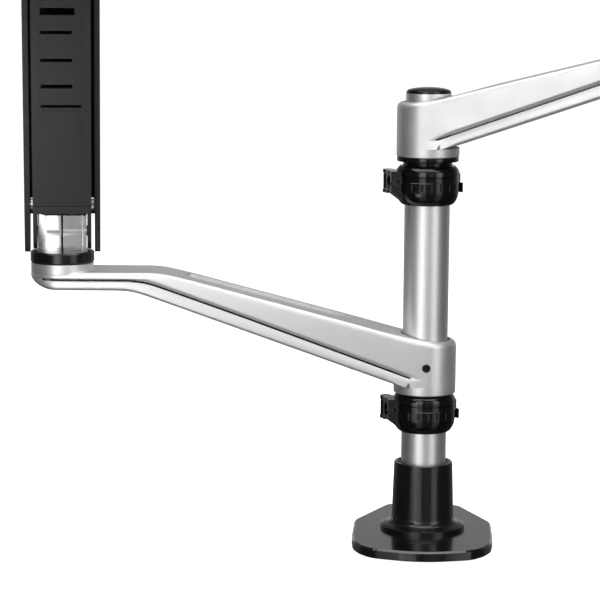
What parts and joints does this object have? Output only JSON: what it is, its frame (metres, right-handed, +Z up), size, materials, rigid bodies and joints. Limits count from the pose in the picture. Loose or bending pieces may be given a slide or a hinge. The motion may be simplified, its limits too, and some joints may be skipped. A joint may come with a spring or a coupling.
{
  "type": "dual monitor arm",
  "caption": "Bolt-down desk pole carrying two folding arms, each with a cast lower link, a spring-balanced upper link and a tilting plate for a screen.",
  "frame": {"origin": "centre of the desk bolt hole, on the base's underside and on the pole's axis", "axes": "+Z up along the pole, -Y towards the user (the way the screens face), +X to the user's right"},
  "size_m": [0.6399, 0.466, 0.5519],
  "materials": {
    "gloss_black": "gloss",
    "rubber_pad": "matte",
    "satin_black": "satin",
    "black_screw": "satin",
    "anodised_pole": "anodised",
    "black_plastic": "satin",
    "bush_plastic": "matte",
    "silver_paint": "casting, painted silver",
    "silver_cover": "satin",
    "zinc_screw": "zinc plated",
    "chrome_knuckle": "polished",
    "black_shell": "satin",
    "gas_black": "gloss",
    "chrome_rod": "polished",
    "plate_black": "fine texture"
  },
  "bodies": {
    "base": {"base_plate": "gloss_black", "base_pad": "rubber_pad", "pole_socket": "satin_black", "base_screws": "black_screw", "pole_tube": "anodised_pole", "pole_cap": "black_plastic"},
    "lower_collar": {"lower_collar_ring": "black_plastic", "lower_collar_liner": "bush_plastic", "lower_collar_pins": "black_screw"},
    "lower_lever": {"lower_collar_lever": "black_plastic"},
    "lower_arm": {"lower_arm_casting": "silver_paint", "lower_cable_cover": "silver_cover", "lower_hub_bush": "bush_plastic", "lower_hub_screw": "black_screw", "lower_elbow_bush": "bush_plastic"},
    "lower_elbow": {"lower_swivel_disc": "satin_black", "lower_elbow_screw": "zinc_screw", "lower_cheek_left": "chrome_knuckle", "lower_cheek_right": "chrome_knuckle", "lower_lift_pins": "zinc_screw"},
    "lower_outer_link": {"lower_outer_shell": "black_shell", "lower_gas_cylinder": "gas_black"},
    "lower_inner_link": {"lower_inner_shell": "black_shell"},
    "lower_rod": {"lower_gas_rod": "chrome_rod"},
    "lower_end": {"lower_end_knuckle": "chrome_knuckle", "lower_end_pins": "zinc_screw"},
    "lower_head": {"lower_head_yoke": "satin_black", "lower_head_bolt": "black_screw", "lower_tilt_bolt": "black_screw"},
    "lower_tilt": {"lower_tilt_block": "satin_black", "lower_spindle_cap": "black_plastic"},
    "lower_plate": {"lower_screen_plate": "plate_black"},
    "upper_collar": {"upper_collar_ring": "black_plastic", "upper_collar_liner": "bush_plastic", "upper_collar_pins": "black_screw", "upper_thrust_washer": "black_plastic"},
    "upper_lever": {"upper_collar_lever": "black_plastic"},
    "upper_arm": {"upper_arm_casting": "silver_paint", "upper_cable_cover": "silver_cover", "upper_hub_bush": "bush_plastic", "upper_hub_screw": "black_screw", "upper_elbow_bush": "bush_plastic"},
    "upper_elbow": {"upper_swivel_disc": "satin_black", "upper_elbow_screw": "zinc_screw", "upper_cheek_left": "chrome_knuckle", "upper_cheek_right": "chrome_knuckle", "upper_lift_pins": "zinc_screw"},
    "upper_outer_link": {"upper_outer_shell": "black_shell", "upper_gas_cylinder": "gas_black"},
    "upper_inner_link": {"upper_inner_shell": "black_shell"},
    "upper_rod": {"upper_gas_rod": "chrome_rod"},
    "upper_end": {"upper_end_knuckle": "chrome_knuckle", "upper_end_pins": "zinc_screw"},
    "upper_head": {"upper_head_yoke": "satin_black", "upper_head_bolt": "black_screw", "upper_tilt_bolt": "black_screw"},
    "upper_tilt": {"upper_tilt_block": "satin_black", "upper_spindle_cap": "black_plastic"},
    "upper_plate": {"upper_screen_plate": "plate_black"}
  },
  "joints": [
    {"name": "lower_collar_slide", "type": "slide", "parent": "base", "child": "lower_collar", "axis": [0, 0, 1], "range_m": [-0.024, 0.03]},
    {"name": "lower_lever_swing", "type": "hinge", "parent": "lower_collar", "child": "lower_lever", "pos_m": [-0.03015, 0.0049, 0.10275], "axis": [0, 0, 1], "range_deg": [0, 80]},
    {"name": "lower_arm_swivel", "type": "hinge", "parent": "lower_collar", "child": "lower_arm", "pos_m": [0, 0, 0.1165], "axis": [0, 0, 1], "range_deg": [-60, 60]},
    {"name": "lower_elbow_swivel", "type": "hinge", "parent": "lower_arm", "child": "lower_elbow", "pos_m": [-0.28109, -0.01522, 0.2171], "axis": [0, 0, 1], "range_deg": [-90, 90]},
    {"name": "lower_lift", "type": "hinge", "parent": "lower_elbow", "child": "lower_outer_link", "pos_m": [-0.28368, 0.0032, 0.2606], "axis": [-0.9903, -0.1392, 0], "range_deg": [-85, 2]},
    {"name": "lower_inner_lift", "type": "hinge", "parent": "lower_elbow", "child": "lower_inner_link", "pos_m": [-0.28169, -0.01097, 0.2401], "axis": [-0.9903, -0.1392, 0], "range_deg": [-87, 4]},
    {"name": "lower_rod_slide", "type": "slide", "parent": "lower_outer_link", "child": "lower_rod", "axis": [0.0289, -0.2059, 0.9781], "range_m": [-0.00165, 0.02845]},
    {"name": "lower_end_level", "type": "hinge", "parent": "lower_outer_link", "child": "lower_end", "pos_m": [-0.27659, -0.04725, 0.50025], "axis": [-0.9903, -0.1392, 0], "range_deg": [-4, 87]},
    {"name": "lower_head_swivel", "type": "hinge", "parent": "lower_end", "child": "lower_head", "pos_m": [-0.27005, -0.09379, 0.49025], "axis": [0, 0, 1], "range_deg": [-67, 75]},
    {"name": "lower_head_tilt", "type": "hinge", "parent": "lower_head", "child": "lower_tilt", "pos_m": [-0.27005, -0.12379, 0.49025], "axis": [-1, 0, 0], "range_deg": [-20, 45]},
    {"name": "lower_plate_turn", "type": "hinge", "parent": "lower_tilt", "child": "lower_plate", "pos_m": [-0.27005, -0.14839, 0.49025], "axis": [0, -1, 0], "range_deg": [-90, 90]},
    {"name": "upper_collar_slide", "type": "slide", "parent": "base", "child": "upper_collar", "axis": [0, 0, 1], "range_m": [-0.06, 0.006]},
    {"name": "upper_lever_swing", "type": "hinge", "parent": "upper_collar", "child": "upper_lever", "pos_m": [-0.03015, 0.0049, 0.28015], "axis": [0, 0, 1], "range_deg": [0, 80]},
    {"name": "upper_arm_swivel", "type": "hinge", "parent": "upper_collar", "child": "upper_arm", "pos_m": [0, 0, 0.3005], "axis": [0, 0, 1], "range_deg": [-70, 90]},
    {"name": "upper_elbow_swivel", "type": "hinge", "parent": "upper_arm", "child": "upper_elbow", "pos_m": [0.27314, -0.0681, 0.4011], "axis": [0, 0, 1], "range_deg": [-60, 100]},
    {"name": "upper_lift", "type": "hinge", "parent": "upper_elbow", "child": "upper_outer_link", "pos_m": [0.27637, -0.04978, 0.4446], "axis": [-0.9848, 0.1736, 0], "range_deg": [-21, 66]},
    {"name": "upper_inner_lift", "type": "hinge", "parent": "upper_elbow", "child": "upper_inner_link", "pos_m": [0.27388, -0.06387, 0.4241], "axis": [-0.9848, 0.1736, 0], "range_deg": [-23, 68]},
    {"name": "upper_rod_slide", "type": "slide", "parent": "upper_outer_link", "child": "upper_rod", "axis": [-0.1685, -0.9556, 0.2419], "range_m": [-0.02231, 0.00778]},
    {"name": "upper_end_level", "type": "hinge", "parent": "upper_outer_link", "child": "upper_end", "pos_m": [0.23509, -0.28389, 0.50387], "axis": [-0.9848, 0.1736, 0], "range_deg": [-68, 23]},
    {"name": "upper_head_swivel", "type": "hinge", "parent": "upper_end", "child": "upper_head", "pos_m": [0.22693, -0.33018, 0.49387], "axis": [0, 0, 1], "range_deg": [-80, 65]},
    {"name": "upper_head_tilt", "type": "hinge", "parent": "upper_head", "child": "upper_tilt", "pos_m": [0.22693, -0.36018, 0.49387], "axis": [-1, 0, 0], "range_deg": [-20, 45]},
    {"name": "upper_plate_turn", "type": "hinge", "parent": "upper_tilt", "child": "upper_plate", "pos_m": [0.22693, -0.38478, 0.49387], "axis": [0, -1, 0], "range_deg": [-90, 90]}
  ],
  "couplings": [
    {"joint": "lower_inner_lift", "follows": "lower_lift", "ratio": 1},
    {"joint": "lower_end_level", "follows": "lower_lift", "ratio": -1},
    {"joint": "lower_rod_slide", "follows": "lower_lift", "m_per_rad": -0.0185},
    {"joint": "upper_inner_lift", "follows": "upper_lift", "ratio": 1},
    {"joint": "upper_end_level", "follows": "upper_lift", "ratio": -1},
    {"joint": "upper_rod_slide", "follows": "upper_lift", "m_per_rad": -0.0185}
  ]
}
